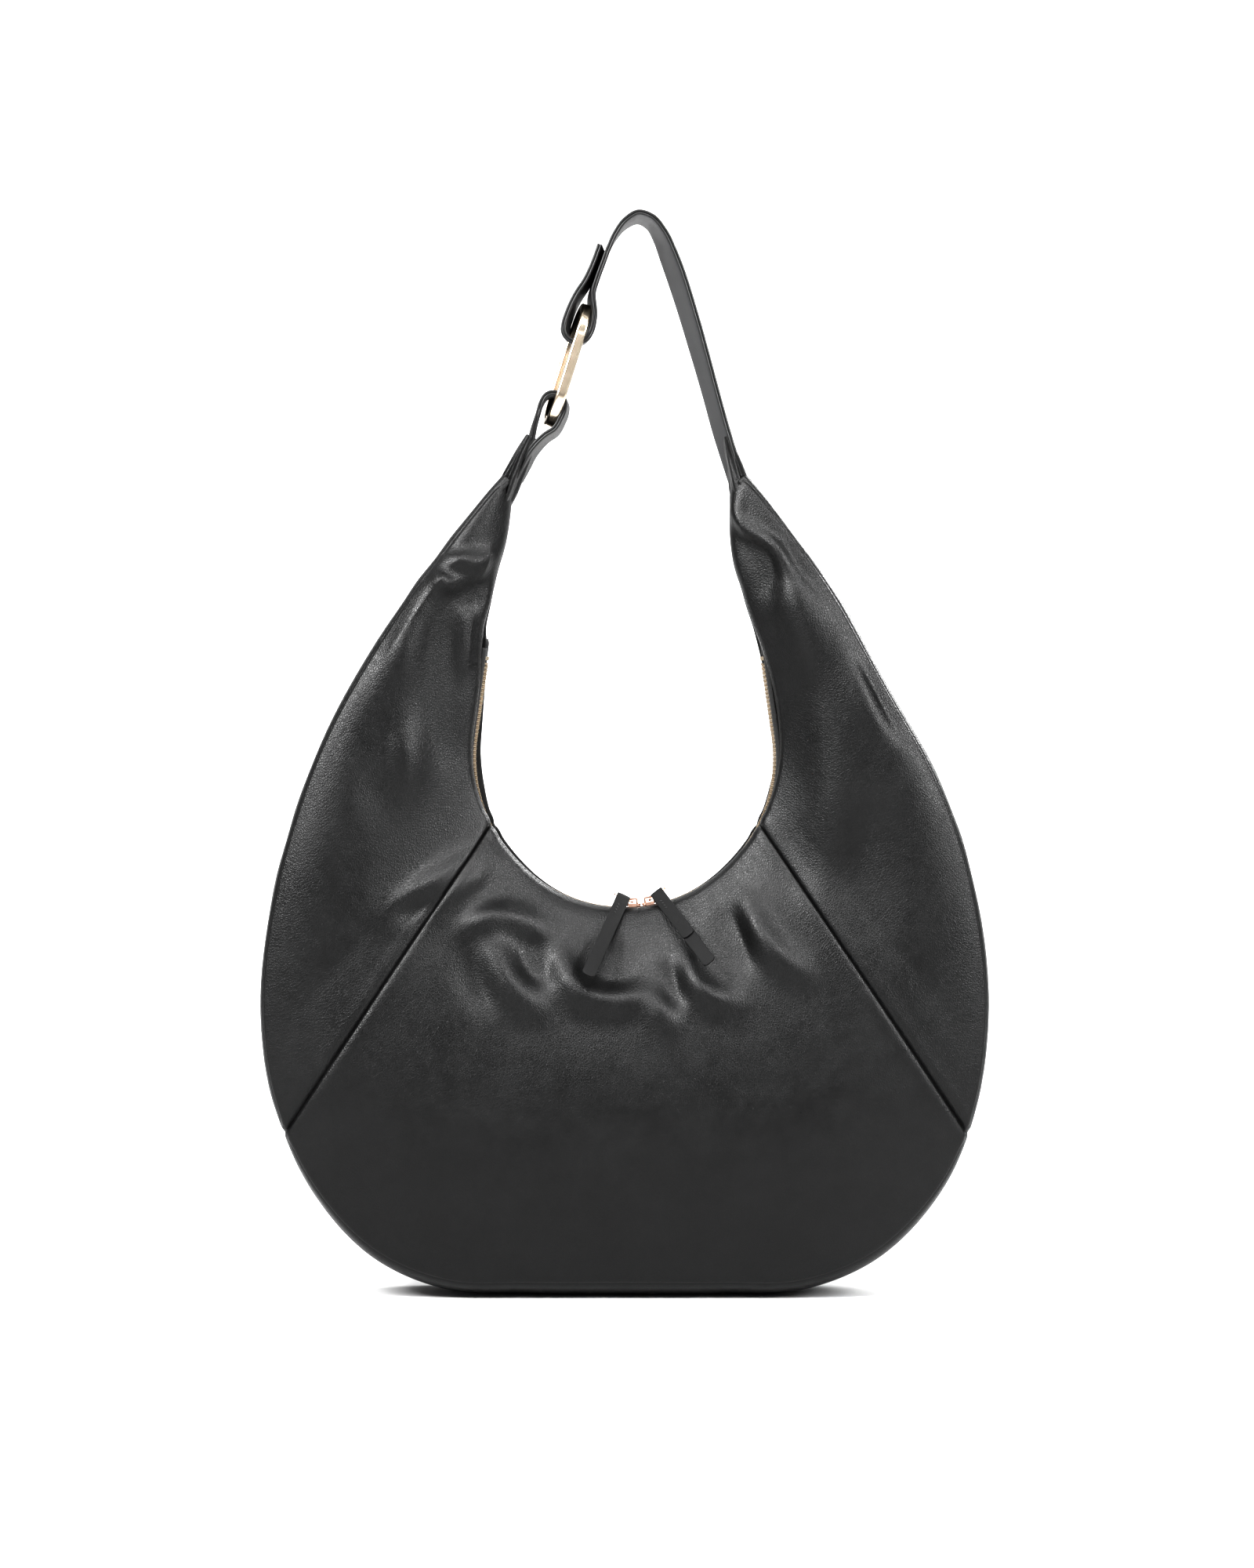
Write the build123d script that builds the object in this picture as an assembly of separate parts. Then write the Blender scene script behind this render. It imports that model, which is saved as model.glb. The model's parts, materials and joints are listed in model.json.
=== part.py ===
"""Crescent-shaped leather hobo bag with a curved two-way zipper, a ring link and a shoulder strap.

Millimetres, +Z up, front of the bag towards -Y. The origin is on the floor under the middle of the base.
Most soft pieces are thin shells lofted through sections that run from the outer seam to the mouth.
A section's place is the share t of the way from the middle of the bag (0) up one arm to its neck (1).
"""

import os
from math import atan2, cos, degrees, hypot, pi, radians, sin

from build123d import *

# Body of the bag
MOUTH_RADIUS = 93.0  # radius of the U-shaped mouth, at the edge of the panels
MOUTH_CENTRE_Z = 332.5  # height of the middle of the U
MOUTH_TURN = 98.0  # degrees that each side of the U turns through before it runs straight
NECK_BASE_Z = 486.0  # where the arms of the bag end and the necks begin
SEAM_OUTLINE = [  # right half of the seam between a panel and the gusset, from the base to the neck
    (0, 9), (60, 9), (109, 10.5), (150, 26), (191, 66), (216, 121), (223, 170),
    (216.5, 243), (195, 316), (157.5, 389), (128, 438), (106, 468), (86, 486),
]  # fmt: skip
SEAM_SHIFT = 0.575  # how far the sections lean out along the seam, which sets the slant of the panel seams
BASE_DEPTH = 90.0  # depth of the gusset under the bag
NECK_DEPTH = 22.0  # depth of the gusset at the necks
DEPTH_TAPER = 2.2  # how late the arms get thin
BULGE = 14.0  # how far the middle of a panel stands proud of the gusset
NECK_BULGE = 1.0
SHOULDER = 3.2  # how full the panels are close to the mouth in the middle
ARM_SHOULDER = 1.4  # and in the arms, from here up
ARM_START = 0.38
GUSSET_SAG = 9.0  # how far the gusset hangs below the seams in the middle of the base
GUSSET_SIDE_SAG = 3.0
BASE_FLAT = 0.8  # how much of the base is pressed flat where the bag stands
PANEL_SEAM = 0.32  # where the slanted seams join the side panels to the middle one
LEATHER = 1.4
GUSSET_LEATHER = 1.8
SEAM_GAP = 0.2  # clearance between two sewn layers

# Lining, pocket and stiffener
LINING = 0.6
LINING_GAP = 2.4  # the lining hangs loose inside the leather
POCKET_CLOTH = 0.8
POCKET_GAP = 1.0
STIFFENER = 1.2
STIFFENER_GAP = 1.0
STIFFENER_HALF_DEPTH = 28.0
STIFFENER_REACH = 0.12
LINING_REACH = 0.93
LINING_END = 0.82
GUSSET_LINING_INSET = 6.0

# Zipper
MOUTH_HALF_GAP = 6.3  # from the middle of the chain to the turned edge of a panel
LIP = 3.5  # depth of the turned edge
CLOSING_START = 0.7  # above the zipper the mouth closes up towards the neck
NECK_HALF_GAP = 0.8
ZIP_RISE = 57.0  # straight stretch of zipper above each end of the U
TAPE = 0.6
TAPE_DROP = 0.5  # from the inside of the turned edge
TAPE_INNER = 2.4
TAPE_OUTER = 6.4
TOOTH_PITCH = 2.6
TOOTH_LENGTH = 1.15
TOOTH_TIP = 0.75  # from the middle of the chain, which leaves the slider's post room to pass
TOOTH_BACK = 3.2
TOOTH_HEIGHT = 3.0
CHAIN_DROP = 1.1  # from the panel's edge to the middle of the chain
MEETING = 10.7  # along the chain, where the two sliders meet
SLIDER_LENGTH = 10.0
SLIDER_GAP = 1.2
SLIDER_PLATE = 1.2
SLIDER_CLEARANCE = 0.4
SLIDER_HALF_WIDTH = 5.1
SLIDER_FLANGE = 0.8
SLIDER_POST_LENGTH = 2.4
SLIDER_POST_INSET = 1.8
BRIDGE_LENGTH = 6.8
BRIDGE_HEIGHT = 3.5
BRIDGE_WIDTH = 1.8
BRIDGE_WALL = 1.1
END_TAB_LENGTH = 11.0
END_TAB_HALF_WIDTH = 5.6
STOP_LENGTH = 2.4

# Puller rings and leather pulls
RING_WIRE = 1.3
RING_LENGTH = 12.0
RING_WIDTH = 13.0
RING_TILT = 28.0
PULL_WIDTH = 8.0
PULL_SHIFT = 0.5  # from the middle of the ring towards its free end
PULL_LEATHER = 1.2
PULL_CLEARANCE = 0.35
PULL_REACH = 38.4  # how far down the belly a pull lies while the belly swells to its full depth
PULL_SLOPE = degrees(atan2(BASE_DEPTH / 2 - MOUTH_HALF_GAP - LIP, PULL_REACH))  # outward lean of a pull
PULL_LONG = 70.0
PULL_SHORT = 45.0
PULL_STITCHES = 4
PULL_STITCH_PITCH = 3.0

# Strap, link and necks
STRAP_WIDTH = 30.0
STRAP_LEATHER = 1.8  # one of the strap's two layers
LINK_LENGTH = 80.0
LINK_WIDTH = 42.0
LINK_BAR = 5.0
LINK_THICKNESS = 6.5
LINK_CENTRE = (-35.8, 578.0)
LINK_TILT = 17.4  # lean of the link's long side from upright
LINK_TURN = 8.0  # turn of the link about its long side
LOOP_RADIUS = 7.9  # middle of the strap where it goes round an end of the link
LOOP_INSET = 21.5  # from the middle of the link to the middle of a loop
FOLD_AXIS_Z = 499.0  # the handle folds to the front and back about this height
NECK_HALF_DEPTH = 13.0
NECK_WIDTH = 13.0
NECK_X = 75.0
FOLD_CLEARANCE = 0.3
THREAD = 0.8

STATION_COUNT = 9
CENTRE_STATION_COUNT = 15  # across the base, where the outline bends
BASE_STATION_COUNT = 23
PROFILE = [0, 0.2, 0.45, 0.68, 0.85, 0.94, 0.98, 1.0]

seam_curve = Spline(*[(x, z) for x, z in SEAM_OUTLINE], tangents=[(1, 0), (-0.74, 0.67)])
arc_length = MOUTH_RADIUS * radians(MOUTH_TURN)
turn_top_z = MOUTH_CENTRE_Z - MOUTH_RADIUS * cos(radians(MOUTH_TURN))
straight_length = (NECK_BASE_Z - turn_top_z) / sin(radians(MOUTH_TURN))
mouth_length = arc_length + straight_length
chain_radius = MOUTH_RADIUS + CHAIN_DROP
tape_radius = MOUTH_RADIUS + LEATHER + TAPE_DROP
slider_height = TOOTH_HEIGHT / 2 + SLIDER_CLEARANCE


def mouth_point(radius, along):
    """Point (x, z) and direction of travel on the mouth's line of this radius, along mm right of its lowest point."""
    side = 1 if along >= 0 else -1
    turn = min(abs(along) / radius, radians(MOUTH_TURN))
    rest = abs(along) - turn * radius
    x = radius * sin(turn) + rest * cos(turn)
    z = MOUTH_CENTRE_Z - radius * cos(turn) + rest * sin(turn)
    return (side * x, z), (cos(turn), side * sin(turn))


def seam_share(share):
    """Share of the way along the seam where the section at this share of the way along the mouth ends."""
    return share + SEAM_SHIFT * share**2 * (1 - share)


def section(t):
    """Ends of the section at t: (seam point, mouth point), each (x, z)."""
    share = abs(t)
    side = 1 if t >= 0 else -1
    (mx, mz), _ = mouth_point(MOUTH_RADIUS, share * mouth_length)
    seam = seam_curve @ seam_share(share)
    return (side * seam.X, seam.Y), (side * mx, mz)


def half_depth(t):
    return (NECK_DEPTH + (BASE_DEPTH - NECK_DEPTH) * (1 - abs(t) ** DEPTH_TAPER)) / 2


def half_gap(t):
    """Half of the mouth's width, which closes above the zipper."""
    share = min(max((abs(t) - CLOSING_START) / (1 - CLOSING_START), 0), 1)
    return MOUTH_HALF_GAP + (NECK_HALF_GAP - MOUTH_HALF_GAP) * (3 - 2 * share) * share**2


def profile(t, w):
    """Half-depth of the outer surface at share w of the way from the seam to the mouth."""
    bulge = NECK_BULGE + (BULGE - NECK_BULGE) * (1 - t * t)
    gap = half_gap(t)
    shoulder = ARM_SHOULDER + (SHOULDER - ARM_SHOULDER) * max(0, 1 - (t / ARM_START) ** 2)
    belly = (half_depth(t) - gap - LIP + 4 * bulge * w * (1 - w)) * (1 - w**shoulder) ** 0.7
    return gap + belly + LIP * (1 - w**60) ** 0.5


def shell_point(t, side, w, depth):
    """Point on the shell at section t, this far in from its outer surface. side is -1 in front and 1 at the back."""
    (sx, sz), (mx, mz) = section(t)
    width = hypot(mx - sx, mz - sz)
    step = 0.004
    low, high = max(w - step, 0), min(w + step, 1)
    slope = (profile(t, high) - profile(t, low)) / ((high - low) * width)
    length = hypot(1, slope)
    along = w * width + depth * slope / length
    out = profile(t, w) - depth / length
    return (sx + (mx - sx) * along / width, side * out, sz + (mz - sz) * along / width)


def loft_strip(stations, rows):
    """Solid through one closed section for each station. rows(t) gives its outer and inner lines of points."""
    wires = []
    for t in stations:
        outer, inner = rows(t)
        wires.append(Wire([
            Edge.make_spline([Vector(*p) for p in outer]),
            Edge.make_line(outer[-1], inner[-1]),
            Edge.make_spline([Vector(*p) for p in reversed(inner)]),
            Edge.make_line(inner[0], outer[0]),
        ]))
    return Solid.make_loft(wires)


def spaced(first, last, count):
    return [first + (last - first) * i / (count - 1) for i in range(count)]


def shell_piece(side, first, last, outer_depth, inner_depth, low=0.0, high=1.0, count=STATION_COUNT):
    """Piece of the front or back shell between two depths, from section first to last."""
    shares = [low + (high - low) * w for w in PROFILE]

    def rows(t):
        return [[shell_point(t, side, w, depth) for w in shares] for depth in (outer_depth, inner_depth)]

    return loft_strip(spaced(first, last, count), rows)


def seam_normal(t):
    """Direction (x, z) out of the bag at the seam."""
    share = abs(t)
    tangent = seam_curve % seam_share(share)
    return ((1 if t >= 0 else -1) * tangent.Y, -tangent.X)


def gusset_piece(first, last, outer_depth, inner_depth, inset, count=STATION_COUNT):
    """Piece of the gusset between two depths, inset mm short of the panels' outer surfaces."""

    def rows(t):
        (sx, sz), _ = section(t)
        nx, nz = seam_normal(t)
        sag = GUSSET_SIDE_SAG + (GUSSET_SAG + BASE_FLAT - GUSSET_SIDE_SAG) * max(0, 1 - (t / PANEL_SEAM) ** 2)
        half = half_depth(t)
        reach = half - inset
        lines = []
        for depth in (outer_depth, inner_depth):
            line = []
            for share in (-1, -0.9, -0.75, -0.5, -0.25, 0, 0.25, 0.5, 0.75, 0.9, 1):
                y = share * reach
                out = sag * (1 - (y / half) ** 4) - depth
                line.append((sx + nx * out, y, sz + nz * out))
            lines.append(line)
        return lines

    return loft_strip(spaced(first, last, count), rows)


def on_floor(solid):
    """The solid with whatever lies below the floor cut away, which leaves a flat face to stand on."""
    big = 2 * SEAM_OUTLINE[6][0] + 200
    return solid - Pos(0, 0, -big / 2) * Box(big, big, big)


def mouth_band(inner_radius, outer_radius, low_y, high_y):
    """Band along the whole zipper between two radii, from low_y to high_y."""
    lines = []
    for radius in (inner_radius, outer_radius):
        turn = radius * radians(MOUTH_TURN)
        ends = [mouth_point(radius, a)[0] for a in (-turn - ZIP_RISE, -turn, 0, turn, turn + ZIP_RISE)]
        lines.append(ends)
    inner, outer = lines
    outline = Wire([
        Edge.make_line(*[(x, 0, z) for x, z in inner[0:2]]),
        Edge.make_three_point_arc(*[(x, 0, z) for x, z in inner[1:4]]),
        Edge.make_line(*[(x, 0, z) for x, z in inner[3:5]]),
        Edge.make_line(*[(x, 0, z) for x, z in (inner[4], outer[4])]),
        Edge.make_line(*[(x, 0, z) for x, z in (outer[4], outer[3])]),
        Edge.make_three_point_arc(*[(x, 0, z) for x, z in (outer[3], outer[2], outer[1])]),
        Edge.make_line(*[(x, 0, z) for x, z in (outer[1], outer[0])]),
        Edge.make_line(*[(x, 0, z) for x, z in (outer[0], inner[0])]),
    ])
    return Pos(0, low_y, 0) * extrude(Face(outline), amount=high_y - low_y, dir=(0, 1, 0))


def chain_plane(along, way=1):
    """Plane on the chain's middle line: x along it (way -1 turns it left), y to the back or front, z out of the bag."""
    (x, z), (dx, dz) = mouth_point(chain_radius, along)
    return Plane(origin=(x, 0, z), x_dir=(way * dx, 0, way * dz), z_dir=(-dz, 0, dx))


def teeth(side):
    """One row of teeth. side is -1 for the front row, which sits half a pitch along from the back row."""
    half_length = chain_radius * radians(MOUTH_TURN) + ZIP_RISE - END_TAB_LENGTH + STOP_LENGTH
    count = int(half_length / TOOTH_PITCH)
    solids = []
    for i in range(-count, count):
        along = (i + (0.25 if side < 0 else 0.75)) * TOOTH_PITCH
        tooth = Box(TOOTH_LENGTH, TOOTH_BACK - TOOTH_TIP, TOOTH_HEIGHT)
        solids.append(chain_plane(along) * Pos(0, side * (TOOTH_BACK + TOOTH_TIP) / 2, 0) * tooth)
    return Compound(children=solids)


def zipper_stops():
    """Four crimped stops, one past the last tooth of each row."""
    along = chain_radius * radians(MOUTH_TURN) + ZIP_RISE - END_TAB_LENGTH + STOP_LENGTH * 1.6
    solids = []
    for way in (-1, 1):
        for side in (-1, 1):
            stop = Box(STOP_LENGTH, TOOTH_BACK - TOOTH_TIP, TOOTH_HEIGHT)
            solids.append(chain_plane(way * along) * Pos(0, side * (TOOTH_BACK + TOOTH_TIP) / 2, 0) * stop)
    return Compound(children=solids)


def end_tab(way):
    """Leather tab sewn over the zipper's end."""
    along = chain_radius * radians(MOUTH_TURN) + ZIP_RISE + END_TAB_LENGTH / 2
    tab = Box(END_TAB_LENGTH, 2 * END_TAB_HALF_WIDTH * 0.6, LEATHER)
    return chain_plane(way * along) * Pos(-END_TAB_LENGTH * 0.25 * way, 0, TOOTH_HEIGHT / 2 + 0.1 + LEATHER / 2) * tab


def slider_place(way):
    """Frame of a slider: x away from where the sliders meet, z out of the bag. way is -1 on the left."""
    along = MEETING + way * (SLIDER_LENGTH + SLIDER_GAP) / 2
    return chain_plane(along, way)


def slider(way):
    """Two plates joined by the post that parts the teeth, with flanges that hold the chain and a bridge on top."""
    plate = Box(SLIDER_LENGTH, 2 * SLIDER_HALF_WIDTH, SLIDER_PLATE)
    plate = fillet(plate.edges().filter_by(Axis.Z), SLIDER_HALF_WIDTH * 0.45)
    middle = slider_height + SLIDER_PLATE / 2
    tape_top = -(tape_radius - chain_radius)
    body = Pos(0, 0, middle) * plate + Pos(0, 0, -middle) * plate
    post_width = 2 * (TOOTH_TIP - SLIDER_CLEARANCE)
    body += Pos(SLIDER_POST_INSET - SLIDER_LENGTH / 2, 0, 0) * Box(SLIDER_POST_LENGTH, post_width, 2 * slider_height)
    for side in (-1, 1):
        y = side * (SLIDER_HALF_WIDTH - SLIDER_FLANGE / 2)
        flange_length = SLIDER_LENGTH * 0.5
        for low, high in (
            (tape_top + SLIDER_CLEARANCE, slider_height),
            (-slider_height, tape_top - TAPE - SLIDER_CLEARANCE),
        ):
            if high > low:
                body += Pos(0, y, (low + high) / 2) * Box(flange_length, SLIDER_FLANGE, high - low)
    bridge = Box(BRIDGE_LENGTH, BRIDGE_WIDTH, BRIDGE_HEIGHT)
    bridge = fillet(bridge.edges().filter_by(Axis.Y).group_by(Axis.Z)[-1], BRIDGE_HEIGHT * 0.4)
    window = Box(BRIDGE_LENGTH - 2 * BRIDGE_WALL, BRIDGE_WIDTH * 2, BRIDGE_HEIGHT - BRIDGE_WALL)
    arch = bridge - Pos(0, 0, -BRIDGE_WALL / 2) * window
    body += Pos(0, 0, middle + SLIDER_PLATE / 2 + BRIDGE_HEIGHT / 2) * arch
    return slider_place(way) * body


def ring_place(way):
    """Frame of a puller ring: origin in the middle of its bar under the bridge, x along the ring."""
    height = slider_height + SLIDER_PLATE + (BRIDGE_HEIGHT - BRIDGE_WALL) / 2
    return slider_place(way) * Pos(0, 0, height) * Rot(0, -RING_TILT, 0)


def puller_ring(way):
    """Rectangular wire ring through the slider's bridge."""
    line = Pos(RING_LENGTH / 2, 0, 0) * Wire.make_rect(RING_LENGTH, RING_WIDTH)
    line = Wire(line.fillet_2d(RING_WIRE * 1.4, line.vertices()))
    ring = sweep(Plane(origin=line @ 0, z_dir=line % 0) * Circle(RING_WIRE / 2), path=line)
    return ring_place(way) * ring


def pull_place(way):
    """Frame of a leather pull: origin on the ring's front bar, x along the bar, y down the pull, z to the front."""
    base = ring_place(way)
    origin = (base * Pos(RING_LENGTH / 2 + PULL_SHIFT, 0, 0)).position
    x_dir = origin - base.position
    down = Vector(0, way, 0).cross(x_dir).normalized()
    slope = radians(PULL_SLOPE)
    y_dir = down * cos(slope) + Vector(0, -1, 0) * sin(slope)
    origin = Vector(origin.X, -RING_WIDTH / 2, origin.Z)
    return Plane(origin=origin, x_dir=x_dir, z_dir=x_dir.cross(y_dir))


def pull_outline(front_leg, back_leg, front_is_up):
    """Side view of the folded pull round the ring's bar, as a face in (y, z) of the pull's frame."""
    radius = RING_WIRE / 2 + PULL_CLEARANCE + PULL_LEATHER / 2
    second = radius - PULL_LEATHER - 0.05
    points = [(front_leg, radius), (-radius, radius), (-radius, -radius), (radius, -radius),
              (radius + 4.5, second), (back_leg, second)]  # fmt: skip
    line = FilletPolyline(*points, radius=radius * 0.95)
    outline = line.wire().offset_2d(PULL_LEATHER / 2, kind=Kind.ARC, side=Side.BOTH)
    return Face(outline)


def leather_pull(way):
    """Leather strip folded through the ring, with one leg longer than the other."""
    front_leg, back_leg = (PULL_LONG, PULL_SHORT) if way < 0 else (PULL_SHORT, PULL_LONG)
    place = pull_place(way)
    front_is_up = place.z_dir.Y < 0
    face = pull_outline(front_leg, back_leg, front_is_up)
    if not front_is_up:
        face = mirror(face, Plane.XZ)
    side_view = Plane(origin=(0, 0, 0), x_dir=(0, 1, 0), z_dir=(1, 0, 0))
    strip = extrude(side_view * face, amount=PULL_WIDTH / 2, both=True)
    return place * strip


def pull_stitches(way):
    """Row of stitches through both legs of the pull, just below its ring."""
    place = pull_place(way)
    up = 1 if place.z_dir.Y < 0 else -1
    radius = RING_WIRE / 2 + PULL_CLEARANCE + PULL_LEATHER
    middle = up * (radius - PULL_LEATHER)
    solids = []
    for i in range(PULL_STITCHES):
        y = radius + 8 + i * PULL_STITCH_PITCH
        stitch = Cylinder(THREAD / 2, 2 * PULL_LEATHER + 0.6)
        solids.append(place * Pos(0, y, middle) * stitch)
    return Compound(children=solids)


def link_point(along, across):
    """Point (x, z) in the link's frame: along its long side from the middle, and across to the right."""
    lean = radians(LINK_TILT)
    return (
        LINK_CENTRE[0] + along * sin(lean) + across * cos(lean),
        LINK_CENTRE[1] + along * cos(lean) - across * sin(lean),
    )


def ring_link():
    """Long oval link with flat-sided bars and rounded edges."""
    face = SlotOverall(LINK_LENGTH, LINK_WIDTH) - SlotOverall(LINK_LENGTH - 2 * LINK_BAR, LINK_WIDTH - 2 * LINK_BAR)
    link = extrude(face, amount=LINK_THICKNESS / 2, both=True)
    link = fillet(link.edges().filter_by(Axis.Z, reverse=True), LINK_BAR * 0.3)
    lean = radians(LINK_TILT)
    upright = Plane(origin=(LINK_CENTRE[0], 0, LINK_CENTRE[1]), x_dir=(sin(lean), 0, cos(lean)),
                    z_dir=(cos(lean), 0, -sin(lean)))  # fmt: skip
    return upright * Rot(LINK_TURN, 0, 0) * link


def band(points, radii, offset):
    """One layer of a strap that follows a line in the XZ plane, this far to one side of it."""
    line = Plane.XZ * FilletPolyline(*points, radius=radii).wire()
    start = Plane(origin=line @ 0, x_dir=(0, 1, 0), z_dir=line % 0)
    return sweep(start * Pos(0, offset, 0) * Rectangle(STRAP_WIDTH, STRAP_LEATHER), path=line)


def above_fold(solid):
    """The solid down to where the neck's rounded top needs room to turn."""
    floor = FOLD_AXIS_Z + NECK_HALF_DEPTH + FOLD_CLEARANCE
    return solid - Pos(0, 0, floor - 100) * Box(1000, 200, 200)


def strap_line():
    """Middle line of the strap: folded end, round the link's top, over the shoulder and down to the right neck."""
    low = LOOP_INSET - LOOP_RADIUS
    points = [(-15.6, 651.5), (-21.5, 630.5), link_point(LINK_LENGTH / 2, -LOOP_RADIUS), link_point(low, -LOOP_RADIUS),
              link_point(low, LOOP_RADIUS), link_point(LINK_LENGTH / 2, LOOP_RADIUS), (-17.2, 629.2), (-11.2, 650.5),
              (0.5, 675.0), (17.0, 675.0), (30.0, 643.0), (47.0, 586.0), (NECK_X - 4.0, 500.0)]  # fmt: skip
    loop = LOOP_RADIUS * 0.99
    radii = [12, 12, loop, loop, 8, 8, 30, 12, 12, 60, 120]
    return points, radii


def tab_line():
    """Middle line of the short strap that holds the link's bottom end to the left neck."""
    low = LOOP_INSET - LOOP_RADIUS
    points = [(-NECK_X + 1.0, 500.0), (-59.8, 527.5), link_point(-LINK_LENGTH / 2, -LOOP_RADIUS),
              link_point(-low, -LOOP_RADIUS), link_point(-low, LOOP_RADIUS),
              link_point(-LINK_LENGTH / 2, LOOP_RADIUS), (-55.6, 525.2), (-NECK_X + 5.2, 497.8)]  # fmt: skip
    loop = LOOP_RADIUS * 0.99
    return points, [12, 8, loop, loop, 8, 12]


def neck(way):
    """Rolled leather neck at the top of an arm, rounded on top where the handle folds over it."""
    height = FOLD_AXIS_Z - NECK_BASE_Z - SEAM_GAP
    block = Pos(0, 0, NECK_BASE_Z + SEAM_GAP + height / 2) * Box(NECK_WIDTH, 2 * NECK_HALF_DEPTH, height)
    top = Pos(0, 0, FOLD_AXIS_Z) * Rot(0, 90, 0) * Cylinder(NECK_HALF_DEPTH, NECK_WIDTH)
    top = top - Pos(0, 0, FOLD_AXIS_Z - NECK_HALF_DEPTH) * Box(NECK_WIDTH * 2, 4 * NECK_HALF_DEPTH, 2 * NECK_HALF_DEPTH)
    return Pos(way * NECK_X, 0, 0) * (block + top)


def cross_stitches(centre, direction, length):
    """Bar of stitches through a doubled strap: a row across the strap's width."""
    solids = []
    angle = degrees(atan2(direction[0], direction[1]))
    for share in (-0.8, -0.4, 0, 0.4, 0.8):
        stitch = Rot(0, 90 + angle, 0) * Cylinder(THREAD / 2, length)
        solids.append(Pos(centre[0], share * STRAP_WIDTH / 2, centre[1]) * stitch)
    return Compound(children=solids)


def build():
    """Every piece of the bag, by name."""
    pieces = {}
    for name, side in (("front", -1), ("back", 1)):
        pieces[f"{name}_centre_panel"] = shell_piece(
            side, -PANEL_SEAM, PANEL_SEAM, 0, LEATHER, count=CENTRE_STATION_COUNT
        )
        pieces[f"{name}_left_panel"] = shell_piece(side, -1, -PANEL_SEAM, 0, LEATHER)
        pieces[f"{name}_right_panel"] = shell_piece(side, PANEL_SEAM, 1, 0, LEATHER)
        lining_top = LEATHER + LINING_GAP
        pieces[f"{name}_lining"] = shell_piece(
            side, -LINING_END, LINING_END, lining_top, lining_top + LINING, 0.03, LINING_REACH, 2 * STATION_COUNT - 1
        )
    seam = LEATHER + SEAM_GAP
    base_top = GUSSET_LEATHER + SEAM_GAP
    base = gusset_piece(-PANEL_SEAM, PANEL_SEAM, 0, GUSSET_LEATHER + BASE_FLAT, seam, BASE_STATION_COUNT)
    pieces["gusset_base"] = on_floor(base)
    pieces["gusset_left"] = gusset_piece(-1, -PANEL_SEAM, 0, GUSSET_LEATHER, seam)
    pieces["gusset_right"] = gusset_piece(PANEL_SEAM, 1, 0, GUSSET_LEATHER, seam)
    stiffener_top = base_top + BASE_FLAT + STIFFENER_GAP
    pieces["base_stiffener"] = gusset_piece(
        -STIFFENER_REACH, STIFFENER_REACH, stiffener_top, stiffener_top + STIFFENER, BASE_DEPTH / 2 - STIFFENER_HALF_DEPTH
    )
    lining_low = stiffener_top + STIFFENER + LINING_GAP
    pieces["gusset_lining"] = gusset_piece(
        -LINING_END, LINING_END, lining_low, lining_low + LINING, GUSSET_LINING_INSET, 3 * STATION_COUNT
    )
    pocket_top = LEATHER + LINING_GAP + LINING + POCKET_GAP
    pieces["slip_pocket"] = shell_piece(1, -0.12, 0.12, pocket_top, pocket_top + POCKET_CLOTH, 0.3, 0.72, 7)
    pieces["front_zipper_tape"] = mouth_band(tape_radius, tape_radius + TAPE, -TAPE_OUTER, -TAPE_INNER)
    pieces["back_zipper_tape"] = mouth_band(tape_radius, tape_radius + TAPE, TAPE_INNER, TAPE_OUTER)
    pieces["front_zipper_teeth"] = teeth(-1)
    pieces["back_zipper_teeth"] = teeth(1)
    pieces["zipper_end_stops"] = zipper_stops()
    for name, way in (("left", -1), ("right", 1)):
        pieces[f"{name}_zipper_end_tab"] = end_tab(way)
        pieces[f"{name}_slider"] = slider(way)
        pieces[f"{name}_puller_ring"] = puller_ring(way)
        pieces[f"{name}_leather_pull"] = leather_pull(way)
        pieces[f"{name}_pull_stitches"] = pull_stitches(way)
        pieces[f"{name}_neck"] = neck(way)
    pieces["ring_link"] = ring_link()
    for name, (points, radii) in (("strap", strap_line()), ("link_tab", tab_line())):
        pieces[f"{name}_outer"] = above_fold(band(points, radii, STRAP_LEATHER / 2))
        pieces[f"{name}_lining"] = above_fold(band(points, radii, -STRAP_LEATHER / 2))
    pieces["strap_stitches"] = cross_stitches((-16.5, 638.5), (-10.6 + 16.6, 651.5 - 630), 4.6 * STRAP_LEATHER)
    pieces["link_tab_stitches"] = cross_stitches((-61.5, 521.5), (15, 24), 4.6 * STRAP_LEATHER)
    return pieces


if __name__ == "__main__":
    os.makedirs("parts", exist_ok=True)
    for node, shape in build().items():
        export_step(shape, f"parts/{node}.step")
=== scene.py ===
import json
from math import cos, pi, radians, sin

import bmesh
import bpy
import numpy as np
from mathutils import Matrix, Vector


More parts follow.
